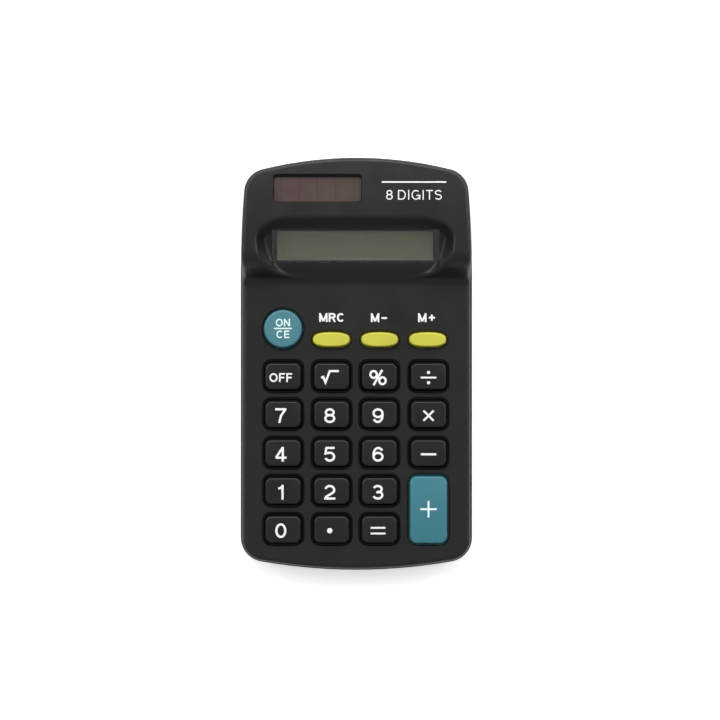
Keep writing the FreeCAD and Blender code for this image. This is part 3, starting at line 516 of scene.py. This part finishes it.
def ink_piece(name, strokes, stroke_width, scale, centre, surface_z, body, material):
    """Thin printed piece: strokes in cap-height units, laid on the surface round a centre."""
    step = INK_STEP / scale
    quads = [
        q for points, closed in strokes
        for q in ribbon(refined(points, closed, step), closed, stroke_width)
    ]
    points, faces = flat_union(quads)
    xs, ys = [p.x for p in points], [p.y for p in points]
    middle = Vector(((min(xs) + max(xs)) / 2, (min(ys) + max(ys)) / 2))
    shape = bmesh.new()
    verts = [shape.verts.new((*((p - middle) * scale), 0)) for p in points]
    for face in faces:
        shape.faces.new([verts[i] for i in face])
    loose = [v for v in shape.verts if not v.link_faces]
    bmesh.ops.delete(shape, geom=loose, context="VERTS")
    bmesh.ops.triangulate(shape, faces=shape.faces)
    made = bmesh.ops.extrude_face_region(shape, geom=list(shape.faces))
    for v in shape.verts:
        v.co.z = -INK_SINK
    for item in made["geom"]:
        if isinstance(item, bmesh.types.BMVert):
            item.co.z = INK_THICK
    for v in shape.verts:
        x, y = v.co.x + centre[0], v.co.y + centre[1]
        v.co = (x, y, v.co.z + surface_z(x, y))
    bmesh.ops.recalc_face_normals(shape, faces=shape.faces)
    mesh = bpy.data.meshes.new(name)
    shape.to_mesh(mesh)
    shape.free()
    mesh.materials.append(material)
    piece = bpy.data.objects.new(name, mesh)
    bpy.context.scene.collection.objects.link(piece)
    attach(piece, body)
    return piece


def key_surface(node):
    low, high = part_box(node)
    x, y = (low.x + high.x) / 2, (low.y + high.y) / 2

    def z(px, py):
        return high.z - ((px - x) ** 2 + (py - y) ** 2) / (2 * KEY_CROWN_R)
    return (x, y), z


def legend_strokes(label):
    """(strokes, stroke width, height in mm) of a key's legend."""
    if label.isdigit():
        t = 0.148
        return glyph(label, t, 0.75 if label != "1" else 0.70), t, 4.15
    if label == "off":
        return word("OFF", 0.17, 0.16), 0.17, 2.5
    if label == "root":
        line = [(-0.70, 0.42), (-0.55, 0.50), (-0.38, 0.07), (-0.06, 0.93), (0.62, 0.93)]
        return [(line, False)], 0.155, 3.75
    if label == "percent":
        return percent(0.14), 0.14, 4.3
    if label == "divide":
        dots = [(arc(0, y, 0.055, 0.055, 0, 360, 16)[:-1], True) for y in (0.12, 0.88)]
        return [([(-0.58, 0.5), (0.58, 0.5)], False)] + dots, 0.13, 3.8
    if label == "multiply":
        rising, falling = [(-0.42, 0.08), (0.42, 0.92)], [(-0.42, 0.92), (0.42, 0.08)]
        return [(rising, False), (falling, False)], 0.16, 3.4
    if label == "minus":
        return [([(-0.54, 0), (0.54, 0)], False)], 0.15, 4.0
    if label == "equals":
        return [([(-0.525, y), (0.525, y)], False) for y in (0, 0.40)], 0.13, 4.0
    if label == "point":
        return [(arc(0, 0, 0.25, 0.25, 0, 360, 24)[:-1], True)], 0.5, 1.5
    if label == "plus":
        return [([(-0.5, 0), (0.5, 0)], False), ([(0, -0.5), (0, 0.5)], False)], 0.115, 4.65
    raise ValueError(label)


# How far the legends sit off their keys' centres, in mm: across by the column's X, and up.
LEGEND_SHIFT_X = {-21: -0.65, -7: -0.5, 6: -0.4, 20: 0.0}
LEGEND_SHIFT_Y = -0.35
PLUS_SHIFT_Y = 0.25


def print_key_legends():
    for name in NODES:
        label = name.removeprefix("key_")
        if not name.startswith("key_") or label == "on_ce" or label.startswith("memory"):
            continue
        (x, y), surface = key_surface(name)
        column = min(LEGEND_SHIFT_X, key=lambda c: abs(c * MM - x))
        shift_y = PLUS_SHIFT_Y if label == "plus" else LEGEND_SHIFT_Y
        strokes, width, height = legend_strokes(label)
        centre = (x + LEGEND_SHIFT_X[column] * MM, y + shift_y * MM)
        ink = MATERIALS["pale_ink"] if label == "plus" else MATERIALS["ink"]
        ink_piece("legend_" + label, strokes, width, height * MM, centre, surface, name, ink)


def print_on_ce():
    """ON over a line over CE, on the round key."""
    (x, y), surface = key_surface("key_on_ce")
    rows = (("on", "ON", 1.75), ("ce", "CE", -1.55))
    for part, text, offset in rows:
        ink_piece("legend_" + part, word(text, 0.17, 0.14), 0.17, 2.15 * MM,
                  (x, y + offset * MM), surface, "key_on_ce", MATERIALS["pale_ink"])
    bar = [([(-0.5, 0), (0.5, 0)], False)]
    ink_piece("legend_on_ce_bar", bar, 0.075, 5.1 * MM, (x, y + 0.1 * MM), surface,
              "key_on_ce", MATERIALS["pale_ink"])


def deck_z(x, y):
    """The deck is flat."""
    return DECK_Z


BLOCK_TOP_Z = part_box("front_cover")[1].z


def block_z(x, y):
    """The block's top is arched along Y only."""
    return BLOCK_TOP_Z - (y - BLOCK_PEAK_Y) ** 2 / (2 * BLOCK_TOP_R)


def print_case_labels():
    """Names of the memory keys, printed above them on the deck."""
    t, above_key = 0.2, 6.2 * MM
    minus = ([(0.0, 0.46), (0.62, 0.46)], False)
    plus = [([(0.0, 0.5), (0.70, 0.5)], False), ([(0.35, 0.15), (0.35, 0.85)], False)]
    capital_m = glyph("M", t, 0.95)
    beside_m = 1.2
    labels = {
        "memory_recall": (word("MRC", t, 0.13), 0.0),
        "memory_minus": (capital_m + moved([minus], beside_m), -0.2),
        "memory_plus": (capital_m + moved(plus, beside_m), -0.3),
    }
    for name, (strokes, shift) in labels.items():
        low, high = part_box("key_" + name)
        centre = ((low.x + high.x) / 2 + shift * MM, (low.y + high.y) / 2 + above_key)
        ink_piece("label_" + name, strokes, t, 2.5 * MM, centre, deck_z, "case",
                  MATERIALS["ink"])


def print_block_label():
    """A plain rule over the words 8 DIGITS, right of the solar cell."""
    x = 16.1 * MM
    stroke = 0.11
    ink_piece("label_digits", word("8 DIGITS", stroke, 0.2), stroke, 2.7 * MM,
              (x, 47.3 * MM), block_z, "case", MATERIALS["ink"])
    rule = [([(-0.5, 0), (0.5, 0)], False)]
    ink_piece("label_rule", rule, 0.022, 18 * MM, (x, 50.9 * MM), block_z, "case",
              MATERIALS["ink"])


# ---------------------------------------------------------------- stage
LIGHTS_AIM = Vector((0, 0, 0))         # the middle of the calculator's back
# Name, place and size in metres, and watts.
SOFTBOXES = (
    ("softbox_top", (0, 0.85, 0.70), (1.5, 0.5), 12),
    ("softbox_left", (-0.8, 0.35, 0.7), (0.4, 0.9), 4),
    ("softbox_right", (0.8, 0.35, 0.7), (0.4, 0.9), 4),
)
FILL_STRENGTH = 0.45           # the world's even light, and the glow that keeps the floor white


def make_floor():
    mesh = bpy.data.meshes.new("floor")
    half, z = 3.0, -0.02 * MM
    corners = [(-half, -half, z), (half, -half, z), (half, half, z), (-half, half, z)]
    mesh.from_pydata(corners, [], [(0, 1, 2, 3)])
    shader = Shader("floor_white", roughness=0.9, specular=0.1)
    speck = shader.noise(20, detail=2)
    shader.colour(shader.ramp(speck, [(0.3, (0.93, 0.93, 0.93, 1)), (0.7, (0.95, 0.95, 0.95, 1))]))
    shader.main.inputs["Emission Color"].default_value = (1, 1, 1, 1)
    shader.main.inputs["Emission Strength"].default_value = FILL_STRENGTH
    mesh.materials.append(shader.material)
    floor = bpy.data.objects.new("floor", mesh)
    bpy.context.scene.collection.objects.link(floor)


def area_light(name, place, size, power):
    data = bpy.data.lights.new(name, "AREA")
    data.shape = "RECTANGLE"
    data.size, data.size_y = size
    data.energy = power
    light = bpy.data.objects.new(name, data)
    light.location = place
    light.rotation_euler = (LIGHTS_AIM - Vector(place)).to_track_quat("-Z", "Y").to_euler()
    bpy.context.scene.collection.objects.link(light)


def make_lights():
    world = bpy.data.worlds.new("studio")
    world.use_nodes = True
    background = world.node_tree.nodes["Background"]
    background.inputs["Color"].default_value = (1, 1, 1, 1)
    background.inputs["Strength"].default_value = FILL_STRENGTH
    bpy.context.scene.world = world
    for name, place, size, watts in SOFTBOXES:
        area_light(name, place, size, watts)


def make_camera():
    """Straight above the calculator, with +Y up the picture."""
    distance, frame_width = 0.70, 0.2038
    offset = Vector((1.02 * MM, 1.21 * MM))
    data = bpy.data.cameras.new("camera")
    data.sensor_width = 36.0
    data.lens = data.sensor_width * distance / frame_width
    data.clip_start = 0.01
    camera = bpy.data.objects.new("camera", data)
    low, high = CAD_BOX
    centre_x, centre_y = (low[0] + high[0]) / 2, (low[1] + high[1]) / 2
    camera.location = (centre_x + offset.x, centre_y + offset.y, high[2] / 2 + distance)
    bpy.context.scene.collection.objects.link(camera)
    bpy.context.scene.camera = camera
    bpy.context.scene.view_settings.view_transform = "Standard"


# ---------------------------------------------------------------- the scene
dress_cad_nodes()
print_key_legends()
print_on_ce()
print_case_labels()
print_block_label()
make_floor()
make_lights()
make_camera()
